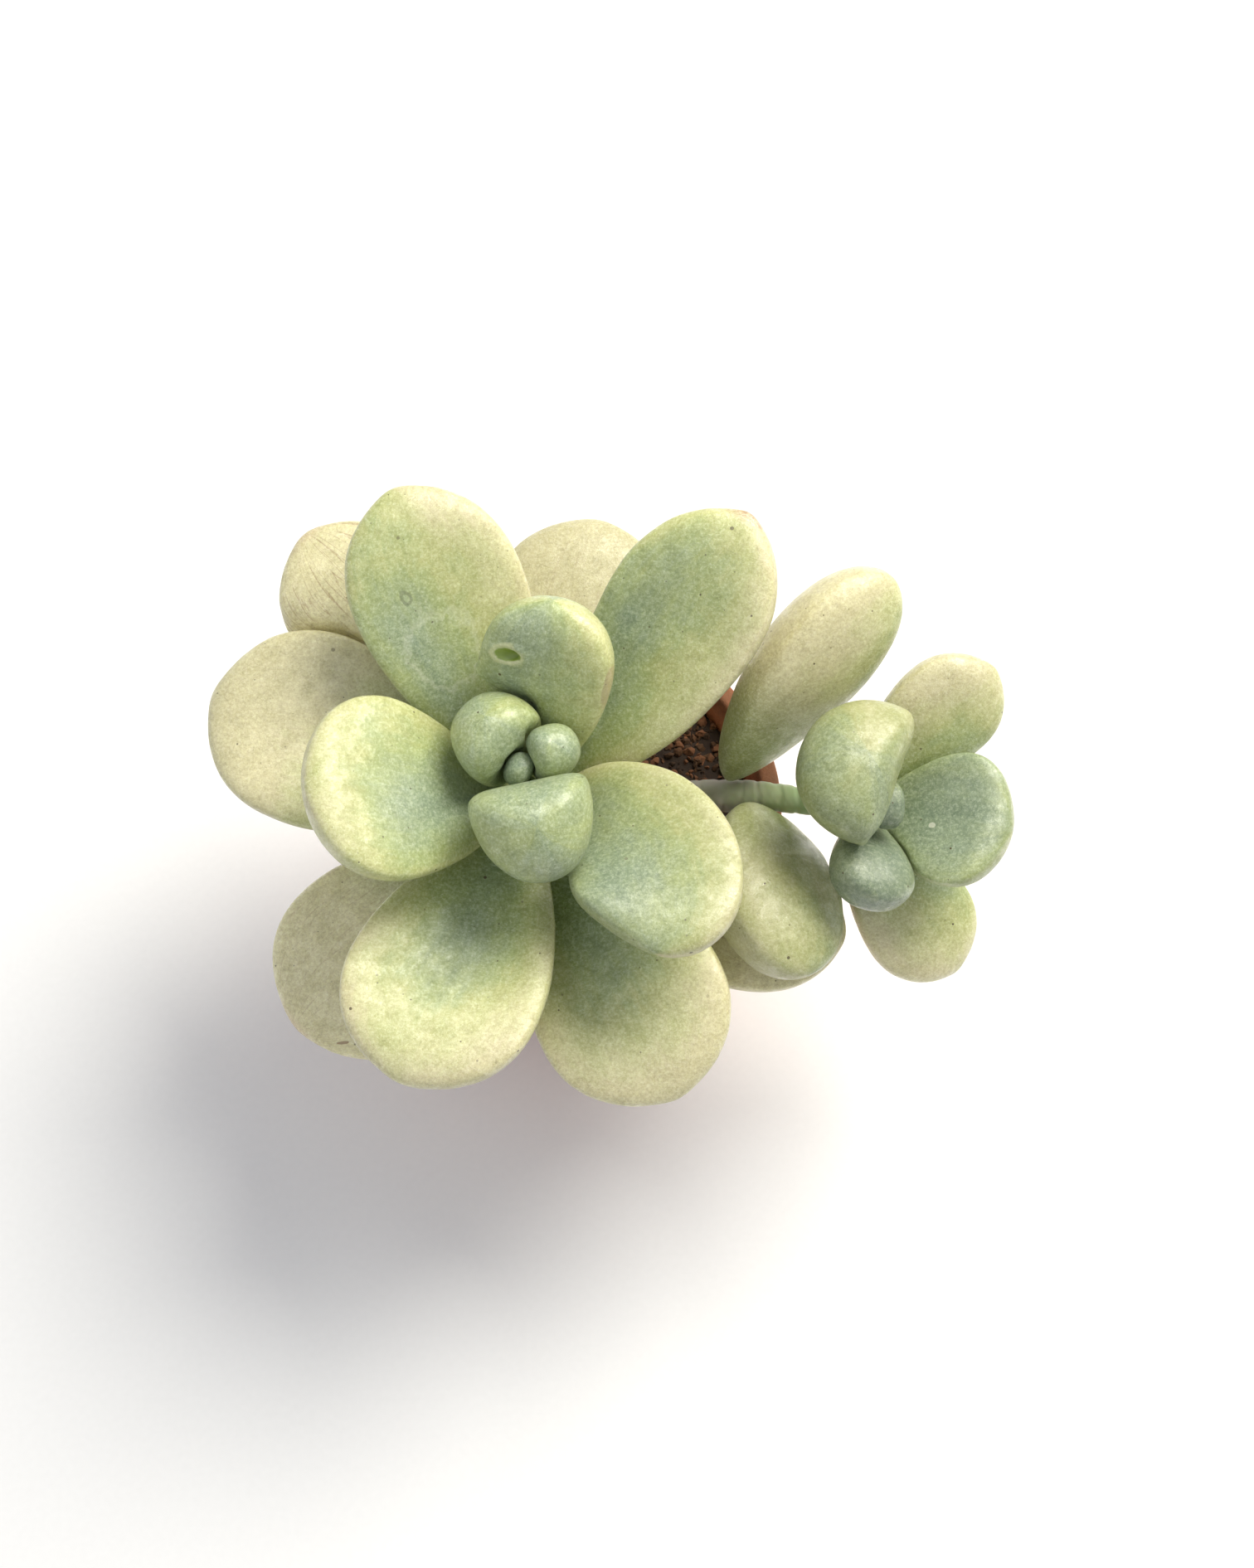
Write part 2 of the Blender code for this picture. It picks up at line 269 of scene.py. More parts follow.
# %% [markdown]
# ## A smooth skin
# A grown leaf has no flat faces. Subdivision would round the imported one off, but it would also
# shrink it. Catmull-Rom curves go through every corner instead, so the smooth leaf keeps the
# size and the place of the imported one. They run along the leaf first and then around it.

# %% A smooth surface through the rings
def through(points, share):
    """Catmull-Rom curves through points along the first axis, at each share of a step."""
    first = np.floor(share).astype(int)
    t = (share - first).reshape((-1,) + (1,) * (points.ndim - 1))
    a, b, c, d = (points[np.clip(first + k, 0, len(points) - 1)] for k in range(4))
    square = (2 * a - 5 * b + 4 * c - d) * t**2
    cube = (3 * b - a - 3 * c + d) * t**3
    return 0.5 * (2 * b + (c - a) * t + square + cube)


def smooth_skin(rings, rows, around):
    """The rings redrawn as that many rows and corners around."""
    count = rings.shape[1]
    over = np.roll(rings, count // 2, axis=1)
    longer = np.concatenate([over[1:2], rings, over[-2:-1]])
    steps = np.linspace(0, len(rings) - 1, rows + 1)
    lengthwise = through(longer, np.minimum(steps, len(rings) - 1 - 1e-9))
    ringed = np.concatenate([lengthwise[:, -1:], lengthwise, lengthwise[:, :2]], axis=1)
    return through(ringed.swapaxes(0, 1), np.arange(around) * count / around).swapaxes(0, 1)


# A leaf's upper side is the one that faces a place 20 mm over the bud of its rosette.
LEAF_ROWS = 128
LEAF_AROUND = 96
CROWN_RISE = 20 * MM
crowns = {
    "leaf": np.array(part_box("leaf_01")[1]) + (0, 0, CROWN_RISE),
    "side_leaf": np.array(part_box("side_leaf_1")[1]) + (0, 0, CROWN_RISE),
}
skins = {}
for node in MAIN_NODES + SIDE_NODES:
    rings = leaf_rings(node, stem_tree)
    crown = crowns["side_leaf" if node in SIDE_NODES else "leaf"]
    skins[node] = smooth_skin(facing(rings, crown), LEAF_ROWS, LEAF_AROUND)
print("skins:", len(skins))

# %% [markdown]
# ## Leaf pigments
# The leaves are variegated: the middle is blue-green, the margins have lost their green and
# are cream, and a yellow-green band lies between. Old leaves are nearly all cream. One number
# at each place of the skin says how pale it is, and the finish turns that into colour, so that
# a single finish serves all the leaves.

# %% How pale each leaf is
# middle: where the green stripe lies, from -1 at the right margin to 1 at the left one
# wide: how wide that stripe is
# reach: how far along the leaf it goes, from 0 at the foot to 1 at the point
# pale: how faded the whole leaf is
# blush: how pink its point is
# foot: how green the skin stays near the foot, partly its own colour and partly painted shade of the
# crevices between leaves
# dish: how hollow the upper side is, from 0 for a full leaf
# shade: how light the whole leaf is beside its neighbours, 1 for no change; this is
# painted light and shade for the light the leaf gets, and partly the leaf's own duller tone
FIELDS = "middle wide reach pale blush foot dish shade"
Pigment = namedtuple("Pigment", FIELDS, defaults=(0.0, 1.0, 0.0, 1.0))
PIGMENTS = {
    "leaf_01": Pigment(0.0, 2.5, 2.0, -0.2, foot=0.2),
    "leaf_02": Pigment(0.0, 2.5, 2.0, 0.1, foot=0.2),
    "leaf_03": Pigment(0.0, 2.5, 2.0, 0.3, foot=0.2),
    "leaf_04": Pigment(0.0, 2.5, 2.0, 0.2, foot=0.2),
    "leaf_05": Pigment(0.3, 1.0, 1.2, 0.0, foot=0.3, dish=0.04, shade=1.05),
    "leaf_06": Pigment(0.0, 0.85, 0.85, 0.0, foot=0.2, dish=0.04),
    "leaf_07": Pigment(-0.6, 0.85, 1.1, -0.1, foot=0.05, dish=0.07, shade=0.86),
    "leaf_08": Pigment(0.35, 0.75, 0.95, 0.1, foot=0.3, dish=0.08),
    "leaf_09": Pigment(0.05, 0.62, 0.78, 0.1, foot=0.6, dish=0.14),
    "leaf_10": Pigment(0.5, 0.75, 0.95, 0.1, 0.7, foot=0.4, dish=0.12, shade=1.02),
    "leaf_11": Pigment(0.5, 0.8, 0.6, 0.5, dish=0.08),
    "leaf_12": Pigment(0.1, 0.65, 0.75, 0.3, dish=0.04),
    "leaf_13": Pigment(-0.2, 0.9, 0.5, 0.7, dish=0.05, shade=0.88),
    "leaf_14": Pigment(0.0, 0.6, 0.3, 1.1, 0.4, dish=0.05, shade=1.15),
    "leaf_15": Pigment(0.0, 0.8, 0.2, 1.8, 0.3, dish=0.05, shade=1.05),
    "leaf_16": Pigment(0.0, 0.6, 0.3, 1.3),
    "side_leaf_1": Pigment(0.0, 2.5, 2.0, -0.3, foot=0.2, shade=0.72),
    "side_leaf_2": Pigment(0.0, 2.5, 2.0, -0.2, foot=0.2, shade=0.72),
    "side_leaf_3": Pigment(0.4, 1.5, 1.4, 0.4, foot=0.4, shade=0.78),
    "side_leaf_4": Pigment(0.2, 1.4, 1.2, -0.2, foot=0.3, dish=0.05, shade=0.86),
    "side_leaf_5": Pigment(1.0, 2.4, 1.8, 0.8, foot=0.5, shade=0.79),
    "side_leaf_6": Pigment(-0.8, 0.8, 0.85, 0.4, foot=0.8, dish=0.05, shade=0.92),
    "side_leaf_7": Pigment(0.7, 0.9, 0.85, 0.4, foot=0.6, dish=0.05, shade=1.0),
    "side_leaf_8": Pigment(-1.2, 1.2, 1.3, 0.8, foot=0.9, shade=1.02),
}


def smooth_step(value, low, high):
    """0 up to low, 1 from high on, and an S-shaped way between them."""
    share = np.clip((value - low) / (high - low), 0, 1)
    return share * share * (3 - 2 * share)


def paleness(pigment, across, along):
    """How pale the skin is: 0 blue-green, about 1 at the yellow-green band, 2 cream."""
    aside = (across - pigment.middle) / pigment.wide
    beyond = np.maximum(along - pigment.reach * 0.6, 0) / (pigment.reach * 0.4)
    return pigment.pale + np.sqrt(aside**2 + beyond**2)


print("leaves with pigments:", len(PIGMENTS))

# %% [markdown]
# ## Pieces with numbers on their skin
# Each leaf becomes one closed mesh, with a single corner at its foot and at its point. Numbers
# stored on its corners as attributes tell the finish where it is on the leaf. A texture could
# do that too, but attributes need no unwrapping and follow every bend of the leaf.

# %% Making a piece from rows
def from_rows(name, rows, material):
    """A closed piece from rows of points round it, whose first and last rows are each one point."""
    count, around = rows.shape[:2]
    points = [rows[0, 0], *rows[1:-1].reshape(-1, 3), rows[-1, 0]]
    last = len(points) - 1
    faces = []
    for k in range(around):
        after = (k + 1) % around
        faces.append((0, 1 + after, 1 + k))
        faces.append((last, last - around + k, last - around + after))
        for row in range(count - 3):
            here = 1 + row * around
            faces.append((here + k, here + after, here + around + after, here + around + k))
    mesh = bpy.data.meshes.new(name)
    mesh.from_pydata(points, [], faces)
    mesh.materials.append(material)
    mesh.shade_smooth()
    piece = bpy.data.objects.new(name, mesh)
    bpy.context.scene.collection.objects.link(piece)
    return piece


def per_point(grid):
    """One value for each point of from_rows, from a grid of values."""
    return np.concatenate([grid[0, :1], grid[1:-1].ravel(), grid[-1, :1]])


def write_numbers(piece, name, grid):
    """Stores one number for each point of a piece, from a grid of values."""
    attribute = piece.data.attributes.new(name, "FLOAT", "POINT")
    attribute.data.foreach_set("value", per_point(grid).astype(np.float32))


def write_vectors(piece, name, grids):
    """Stores one vector for each point of a piece, from three grids of values."""
    attribute = piece.data.attributes.new(name, "FLOAT_VECTOR", "POINT")
    values = np.stack([per_point(grid) for grid in grids], axis=1)
    attribute.data.foreach_set("vector", values.astype(np.float32).ravel())


def bumpy(points, scale, seed=0.0):
    """Smooth noise from -1 to 1 at each point, with lumps of that size."""
    flat = points.reshape(-1, 3) / scale + seed
    return np.array([noise.noise(Vector(p)) for p in flat]).reshape(points.shape[:-1])


# %% [markdown]
# ## Marks of a life outdoors
# A dried drop leaves a ring of dust on a leaf, a caterpillar a bite with a pale lip, and a rub
# against a neighbour a scar. Each mark lies on one leaf only. It is placed by two lengths on
# that leaf, and the leaf gets an attribute that counts from the mark's middle. On every other
# leaf that attribute is missing and reads as nothing, so that one finish can hold them all.

# %% Marks on single leaves
# across and along: where the mark's middle is, in millimetres; wide and long: half its size;
# inner: the share of that at which a ring starts, or 0 for a filled mark; strength: how much
# of the mark's colour covers the leaf's own.
Mark = namedtuple("Mark", "node across along wide long inner colour strength")
MARKS = {
    "drop_ring": Mark("leaf_08", 2.0, 30.2, 0.75, 1.1, 0.6, "6F7556", 0.5),
    "water_stain": Mark("leaf_08", 1.0, 21.8, 5.0, 5.4, 0.93, "E4E5CC", 0.28),
    "bite_lip": Mark("leaf_05", 3.4, 21.1, 2.7, 1.7, 0.6, "E0DEAA", 0.45),
    "bite": Mark("leaf_05", 3.2, 21.1, 1.9, 1.0, 0.0, "869C3A", 1.0),
    "scar": Mark("leaf_05", -8.9, 18.5, 0.6, 3.2, 0.0, "A98F70", 0.5),
    "brown_spot": Mark("leaf_14", 6.9, 37.2, 0.5, 0.7, 0.0, "8A6240", 0.7),
    "rub": Mark("side_leaf_4", 0.0, 10.3, 0.35, 0.5, 0.0, "E9E8D4", 0.5),
}


def mark_places(mark, across_mm, along_mm):
    """Where each point of a leaf is from a mark's middle, as shares of the mark's half size."""
    return (across_mm - mark.across) / mark.wide, (along_mm - mark.along) / mark.long


print("marks:", list(MARKS))

# %% Places on a leaf
# across runs from 1 at the left margin to -1 at the right one, above from 1 on the upper side
# to -1 below, and along from 0 at the foot to 1 at the point.
leaf_skin, tree, shader = new_material("waxy_leaf_skin")
angle = 2 * np.pi * np.arange(LEAF_AROUND) / LEAF_AROUND
share = (1 - np.cos(np.pi * np.arange(LEAF_ROWS + 1) / LEAF_ROWS)) / 2
along, across = np.meshgrid(share, np.cos(angle), indexing="ij")
above = np.tile(np.sin(angle), (LEAF_ROWS + 1, 1))
print("places on a leaf:", along.size)

# %% Making the leaf pieces
# A real leaf isn't quite even: water swells it here and there by some tenths of a millimetre,
# and a grown one is hollow above, between its foot and its point. HOLLOW is how deep a dish of
# 1 would be, counted in the leaf's own thickness.
BROAD_SWELL = 0.22 * MM
SMALL_SWELL = 0.05 * MM
HOLLOW = 1.6
# Near its foot a leaf turns olive: partly its own greener skin, partly painted shade of the crevices
# between leaves.
FOOT_GREEN_AND_CREVICE_SHADE = 0.75
BITE_DEPTH = 1.1 * MM
BITE_LIP = 0.3 * MM
VEINED = {"leaf_13": 0.3, "leaf_14": 0.5, "leaf_15": 1.0, "leaf_16": 0.5}
leaves = {}
for number, (node, skin) in enumerate(skins.items()):
    pigment = PIGMENTS[node]
    heart = skin.mean(axis=1, keepdims=True)
    outwards = skin - heart
    outwards /= np.maximum(np.linalg.norm(outwards, axis=2, keepdims=True), 1e-9)
    swell = bumpy(skin, 9 * MM, number) * BROAD_SWELL + bumpy(skin, 3.5 * MM, number) * SMALL_SWELL
    skin = skin + outwards * (swell * smooth_step(along, 0.05, 0.3))[:, :, None]
    thick = skin[:, LEAF_AROUND // 4] - skin[:, 3 * LEAF_AROUND // 4]
    dish = np.maximum(above, 0) ** 2 * smooth_step(along, 0.1, 0.5)
    dish = dish * (1 - smooth_step(along, 0.6, 0.97))
    skin = skin - thick[:, None] * (pigment.dish * HOLLOW * dish)[:, :, None]
    width = np.linalg.norm(skin[:, 0] - skin[:, LEAF_AROUND // 2], axis=1).max()
    length = np.linalg.norm(np.diff(skin.mean(axis=1), axis=0), axis=1).sum()
    across_mm, along_mm = across * width / 2 / MM, along * length / MM
    if node == MARKS["bite"].node:
        from_bite = np.hypot(*mark_places(MARKS["bite"], across_mm, along_mm))
        hollow = BITE_DEPTH * (1 - smooth_step(from_bite, 0.3, 1.0))
        lip = BITE_LIP * np.exp(-((from_bite - 1.35) / 0.3) ** 2)
        skin = skin + outwards * ((lip - hollow) * (above > 0))[:, :, None]
    leaf = from_rows(node + "_skin", skin, leaf_skin)
    write_numbers(leaf, "pale", paleness(pigment, across, along))
    write_numbers(leaf, "blush", pigment.blush * smooth_step(along, 0.96, 1.0))
    write_numbers(leaf, "foot", FOOT_GREEN_AND_CREVICE_SHADE * pigment.foot * (1 - smooth_step(along, 0.25, 0.62)))
    # Painted light and shade: this number makes the whole leaf's colour lighter or darker.
    write_numbers(leaf, "shade", np.full(across.shape, pigment.shade))
    write_numbers(leaf, "veins", np.full(across.shape, VEINED.get(node, 0.0)))
    write_vectors(leaf, "leaf_mm", [across_mm, along_mm, above * 5])
    for name, mark in MARKS.items():
        if mark.node == node:
            aside, onwards = mark_places(mark, across_mm, along_mm)
            write_vectors(leaf, name, [aside, onwards, (above > -0.3) * 1.0])
    leaves[node] = leaf
print("leaf pieces:", len(leaves))

# %% [markdown]
# ## The leaf finish
# Under its skin a leaf is full of water, so light soaks in a little way and softens each
# shadow. On the skin lies farina, a powder of wax that makes the leaf pale, satin and finely
# grained. Where a finger or a drop has rubbed it thin, the skin shows its gloss. So the finish
# is pigment under a clear coat, and the coat's weight follows patches of worn powder.

# %% Leaf pigments
# Living leaf skin: blue-green where it is rich in green, yellow-green and then cream where it
# has lost it. Clouds some 7 mm wide and finer streaks keep the bands from looking painted.
LEAF_CLOUD_MM = 7.5
STREAKS = (0.8, 0.09, 0.2)
pale = add(tree, "ShaderNodeAttribute", attribute_name="pale").outputs["Fac"]
leaf_mm = add(tree, "ShaderNodeAttribute", attribute_name="leaf_mm").outputs["Vector"]
place = millimetres(tree)
# Streaks lie along the leaf: 1.25 mm apart across it, and some 11 mm long.
lengthwise = add(tree, "ShaderNodeVectorMath", {0: leaf_mm, 1: STREAKS}, operation="MULTIPLY")
streaks = lumps(tree, lengthwise.outputs[0], 1.0, 5.0, 0.65)
clouds = lumps(tree, place, LEAF_CLOUD_MM, 5.0)
shift = add(tree, "ShaderNodeMath", {0: streaks, 1: 0.5, 2: clouds}, operation="MULTIPLY_ADD").outputs[0]
limits = {"From Min": 0.45, "From Max": 1.05, "To Min": -0.45, "To Max": 0.45}
shift = add(tree, "ShaderNodeMapRange", {"Value": shift, **limits}).outputs[0]
pale = add(tree, "ShaderNodeMath", {0: pale, 1: shift}, operation="ADD").outputs[0]
limits = {"From Min": -0.5, "From Max": 2.0}
pale = add(tree, "ShaderNodeMapRange", {"Value": pale, **limits}).outputs[0]
colour = colours_along(tree, pale, [
    (0.0, "7E9378"), (0.2, "97A988"), (0.36, "A5B486"), (0.52, "B3BF7E"),
    (0.66, "C9CC88"), (0.82, "DBD99F"), (1.0, "E0D7A8"),
])
# The olive at a leaf's foot is partly its own colour and partly painted crevice shade; the pink at its
# point is its own.
for name, tint in (("foot", "7F9447"), ("blush", "B98A74")):
    amount = add(tree, "ShaderNodeAttribute", attribute_name=name).outputs["Fac"]
    feeds = {0: amount, 6: colour, 7: linear(tint)}
    colour = add(tree, "ShaderNodeMix", feeds, data_type="RGBA").outputs[2]
print("pigment nodes:", len(tree.nodes))

# %% Hairline veins of the oldest leaves
# A vein is where stretched noise passes through its middle value, which draws long thin lines.
HAIRS = (1.1, 0.05, 0)
hair_place = add(tree, "ShaderNodeVectorMath", {0: leaf_mm, 1: HAIRS}, operation="MULTIPLY").outputs[0]
hairs = lumps(tree, hair_place, 1.0, 2.0, 0.4)
hairs = add(tree, "ShaderNodeMath", {0: hairs, 1: 0.5}, operation="SUBTRACT").outputs[0]
hairs = add(tree, "ShaderNodeMath", {0: hairs}, operation="ABSOLUTE").outputs[0]
limits = {"From Min": 0.0, "From Max": 0.02, "To Min": 0.55, "To Max": 0.0}
hairs = add(tree, "ShaderNodeMapRange", {"Value": hairs, **limits}).outputs[0]
veins = add(tree, "ShaderNodeAttribute", attribute_name="veins").outputs["Fac"]
veins = add(tree, "ShaderNodeMath", {0: veins, 1: hairs}, operation="MULTIPLY").outputs[0]
feeds = {0: veins, 6: colour, 7: linear("A07C54")}
colour = add(tree, "ShaderNodeMix", feeds, data_type="RGBA").outputs[2]
print("with veins:", len(tree.nodes))

# %% Wax powder
# Farina is far finer than half a millimetre. It is drawn that coarse so that its grain shows.
POWDER_MM = 0.5
PATCH_MM = 2.2
powder = lumps(tree, place, POWDER_MM, 6.0, 0.9)
patches = lumps(tree, place, PATCH_MM, 4.0, 0.7)
worn = add(tree, "ShaderNodeMath", {0: patches, 1: 0.35, 2: powder}, operation="MULTIPLY_ADD").outputs[0]
limits = {"From Min": 0.48, "From Max": 0.87, "To Min": 0.6, "To Max": 1.16}
grain = add(tree, "ShaderNodeMapRange", {"Value": worn, **limits}).outputs[0]
limits = {"From Min": 0.46, "From Max": 0.68, "To Min": 0.0, "To Max": 0.5}
farina = add(tree, "ShaderNodeMapRange", {"Value": powder, **limits}).outputs[0]
feeds = {0: farina, 6: colour, 7: linear("D9DDC6")}
colour = add(tree, "ShaderNodeMix", feeds, data_type="RGBA").outputs[2]
# Painted light and shade: each leaf's colour is made lighter or darker by its shade number, partly for
# the light it gets and partly for its own tone.
shade = add(tree, "ShaderNodeAttribute", attribute_name="shade").outputs["Fac"]
grain = add(tree, "ShaderNodeMath", {0: grain, 1: shade}, operation="MULTIPLY").outputs[0]
colour = add(tree, "ShaderNodeVectorMath", {0: colour, 1: grain}, operation="MULTIPLY").outputs[0]
print("with powder:", len(tree.nodes))

# %% The marks of wear
# Each mark is an oval or a ring round the mark's middle, whose edge wobbles so that it isn't
# a drawn line.
WOBBLE_MM = 1.5
WOBBLE = 0.7
wobble = add(tree, "ShaderNodeTexNoise", {"Vector": place, "Scale": 1 / WOBBLE_MM}).outputs[1]
for name, mark in MARKS.items():
    from_mark = add(tree, "ShaderNodeAttribute", attribute_name=name).outputs["Vector"]
    on_leaf = add(tree, "ShaderNodeSeparateXYZ", {0: from_mark}).outputs[2]
    flat = add(tree, "ShaderNodeVectorMath", {0: from_mark, 1: (1, 1, 0)}, operation="MULTIPLY")
    feeds = {0: wobble, 1: (WOBBLE, WOBBLE, 0), 2: flat.outputs[0]}
    uneven = add(tree, "ShaderNodeVectorMath", feeds, operation="MULTIPLY_ADD")
    feeds = {0: uneven.outputs[0], 1: (WOBBLE / 2, WOBBLE / 2, 0)}
    centred = add(tree, "ShaderNodeVectorMath", feeds, operation="SUBTRACT")
    away = add(tree, "ShaderNodeVectorMath", {0: centred.outputs[0]}, operation="LENGTH")
    limits = {"From Min": 0.9, "From Max": 1.1, "To Min": mark.strength, "To Max": 0.0}
    within = add(tree, "ShaderNodeMapRange", {"Value": away.outputs["Value"], **limits}).outputs[0]
    limits = {"From Min": mark.inner - 0.12, "From Max": mark.inner}
    beyond = add(tree, "ShaderNodeMapRange", {"Value": away.outputs["Value"], **limits}).outputs[0]
    share = add(tree, "ShaderNodeMath", {0: within, 1: beyond}, operation="MULTIPLY").outputs[0]
    share = add(tree, "ShaderNodeMath", {0: share, 1: on_leaf}, operation="MULTIPLY").outputs[0]
    feeds = {0: share, 6: colour, 7: linear(mark.colour)}
    colour = add(tree, "ShaderNodeMix", feeds, data_type="RGBA").outputs[2]
print("with marks:", len(tree.nodes))

# %% Specks of dirt
# Rain splashes soil on the leaves. Each cell of a Voronoi pattern may hold one round speck.
# spacing: the millimetres between specks; bare: the share of cells that hold none; largest:
# the radius of the largest speck.
for spacing, bare, largest in ((2.7, 0.35, 0.27), (1.1, 0.6, 0.15)):
    dots = add(tree, "ShaderNodeTexVoronoi", {"Vector": place, "Scale": 1 / spacing})
    chance = add(tree, "ShaderNodeSeparateColor", {0: dots.outputs["Color"]})
    limits = {"From Min": bare, "From Max": 1.0, "To Min": 0.0, "To Max": largest / spacing}
    reach = add(tree, "ShaderNodeMapRange", {"Value": chance.outputs[0], **limits}).outputs[0]
    feeds = {0: dots.outputs["Distance"], 1: reach}
    near = add(tree, "ShaderNodeMath", feeds, operation="LESS_THAN").outputs[0]
    near = add(tree, "ShaderNodeMath", {0: near, 1: chance.outputs[1]}, operation="MULTIPLY").outputs[0]
    feeds = {0: near, 6: colour, 7: linear("54452C")}
    colour = add(tree, "ShaderNodeMix", feeds, data_type="RGBA").outputs[2]
tree.links.new(colour, shader.inputs["Base Color"])
print("with specks:", len(tree.nodes))

# %% Satin, gloss and soft light in the flesh
# Powdered skin is satin. Where the powder is worn off, a glossier coat shows and glints.
GRAIN_DEPTH = 0.25 * MM
limits = {"From Min": 0.45, "From Max": 0.9, "To Min": 0.32, "To Max": 0.55}
rough = add(tree, "ShaderNodeMapRange", {"Value": worn, **limits}).outputs[0]
tree.links.new(rough, shader.inputs["Roughness"])
bump = add(tree, "ShaderNodeBump", {"Height": worn, "Strength": 0.35, "Distance": GRAIN_DEPTH})
tree.links.new(bump.outputs[0], shader.inputs["Normal"])
limits = {"From Min": 0.42, "From Max": 0.62, "To Min": 0.2, "To Max": 1.0}
rubbed = add(tree, "ShaderNodeMapRange", {"Value": patches, **limits}).outputs[0]
tree.links.new(rubbed, shader.inputs["Coat Weight"])
glaze_bump = add(tree, "ShaderNodeBump", {"Height": worn, "Strength": 0.26, "Distance": GRAIN_DEPTH})
tree.links.new(glaze_bump.outputs[0], shader.inputs["Coat Normal"])
# The coat's IOR is above that of wax, because small glints are weak without it.
shader.inputs["Coat Roughness"].default_value = 0.17
shader.inputs["Coat IOR"].default_value = 1.65
# Waxy skin over watery flesh: the IOR of wax, and light that goes some 2 mm deep.
shader.inputs["IOR"].default_value = 1.45
shader.inputs["Subsurface Weight"].default_value = 0.45
shader.inputs["Subsurface Radius"].default_value = (0.9, 1.0, 0.45)
shader.inputs["Subsurface Scale"].default_value = 2.5 * MM
print("leaf finish:", len(tree.nodes), "nodes")

# %% [markdown]
# ## The stem
# The forked stem is smooth and fleshy, with the shallow marks that fallen leaves have left.
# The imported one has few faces, so a copy is joined and subdivided, and then its skin is pushed
# in along rings, where leaves once sat.

# %% A finer stem
# Each step of FINER splits every face of the stem into four.
FINER = 3
stem_finish, tree, shader = new_material("fleshy_stem_skin")
form = merged("stem")
stem_mesh = bpy.data.meshes.new("stem_skin")
form.to_mesh(stem_mesh)
form.free()
stem_rough = bpy.data.objects.new("stem_rough", stem_mesh)
bpy.context.scene.collection.objects.link(stem_rough)
finer = stem_rough.modifiers.new("Finer", "SUBSURF")
finer.levels = finer.render_levels = FINER
graph = bpy.context.evaluated_depsgraph_get()
stem_mesh = bpy.data.meshes.new_from_object(stem_rough.evaluated_get(graph))
bpy.data.objects.remove(stem_rough)
stem_mesh.materials.clear()
stem_mesh.materials.append(stem_finish)
stem_mesh.name = "stem_skin"
stem = bpy.data.objects.new("stem_skin", stem_mesh)
bpy.context.scene.collection.objects.link(stem)
print("stem faces:", len(stem_mesh.polygons))

# %% Scars where leaves sat
# The stem climbs where it is upright and runs towards +X where the side shoot leaves it, so
# the rings are counted along one or the other. Noise bends them, and dents the skin as well.
SCAR_SPACING = 2.6 * MM
SCAR_BEND = 0.8 * MM
SCAR_DEPTH = 0.12
DENT_DEPTH = 0.10
places = np.array([v.co for v in stem_mesh.vertices])
outwards = np.array([v.normal for v in stem_mesh.vertices])
run = np.where(places[:, 0] > 0, places[:, 0], places[:, 2])
run = run + SCAR_BEND * bumpy(places, 4 * MM)
rings = np.maximum(np.sin(2 * np.pi * run / SCAR_SPACING), 0) ** 2
dents = (SCAR_DEPTH * rings + DENT_DEPTH * bumpy(places, 1.8 * MM)) * MM
places = places - outwards * dents[:, None]
stem_mesh.vertices.foreach_set("co", places.astype(np.float32).ravel())
stem_mesh.shade_smooth()
print("deepest dent in millimetres:", round(dents.max() / MM, 2))

# %% [markdown]
# ## The stem's finish
# A stem turns from green and full of water near its tip to brown and corky at its foot. Colour
# by height says that in one number, and patches of noise move the border up and down.

# %% Stem finish
# Fleshy bark: satin, with a little light in it, greyish lavender between the brown and green.
STEM_PATCH_MM = 20 / 7
PATCH_CLIMB_MM = 8.0
CORKY_BELOW_MM = 46.0
GREEN_ABOVE_MM = 64.0
spot_mm = millimetres(tree)
height = add(tree, "ShaderNodeSeparateXYZ", {0: spot_mm}).outputs[2]
patches = lumps(tree, spot_mm, STEM_PATCH_MM, 4.0, 0.5)
feeds = {0: patches, 1: PATCH_CLIMB_MM, 2: height}
height = add(tree, "ShaderNodeMath", feeds, operation="MULTIPLY_ADD").outputs[0]
limits = {"From Min": CORKY_BELOW_MM, "From Max": GREEN_ABOVE_MM}
age = add(tree, "ShaderNodeMapRange", {"Value": height, **limits}).outputs[0]
tint = colours_along(tree, age, [
    (0.0, "8A7A62"), (0.25, "A39887"), (0.5, "B3ACA4"), (0.75, "A9B48C"), (1.0, "9FB585"),
])
tree.links.new(tint, shader.inputs["Base Color"])
shader.inputs["Roughness"].default_value = 0.55
shader.inputs["Subsurface Weight"].default_value = 0.15
shader.inputs["Subsurface Scale"].default_value = 1.5 * MM
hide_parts("stem")
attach(stem, "root")
print("stem finish:", len(tree.nodes), "nodes")

# %% [markdown]
# ## The soil
# Potting soil is a bed of crumbs with loose lumps and grit on top. The bed is a turned form
# that fills the pot, a little domed, with its top stirred by noise. The loose grains are
# scattered by Geometry Nodes: each is a small ball, squashed, turned and crumpled by chance, so
# no two are alike. Scattering makes thousands of them from a few numbers, and a fixed seed
# makes them fall the same way every time.

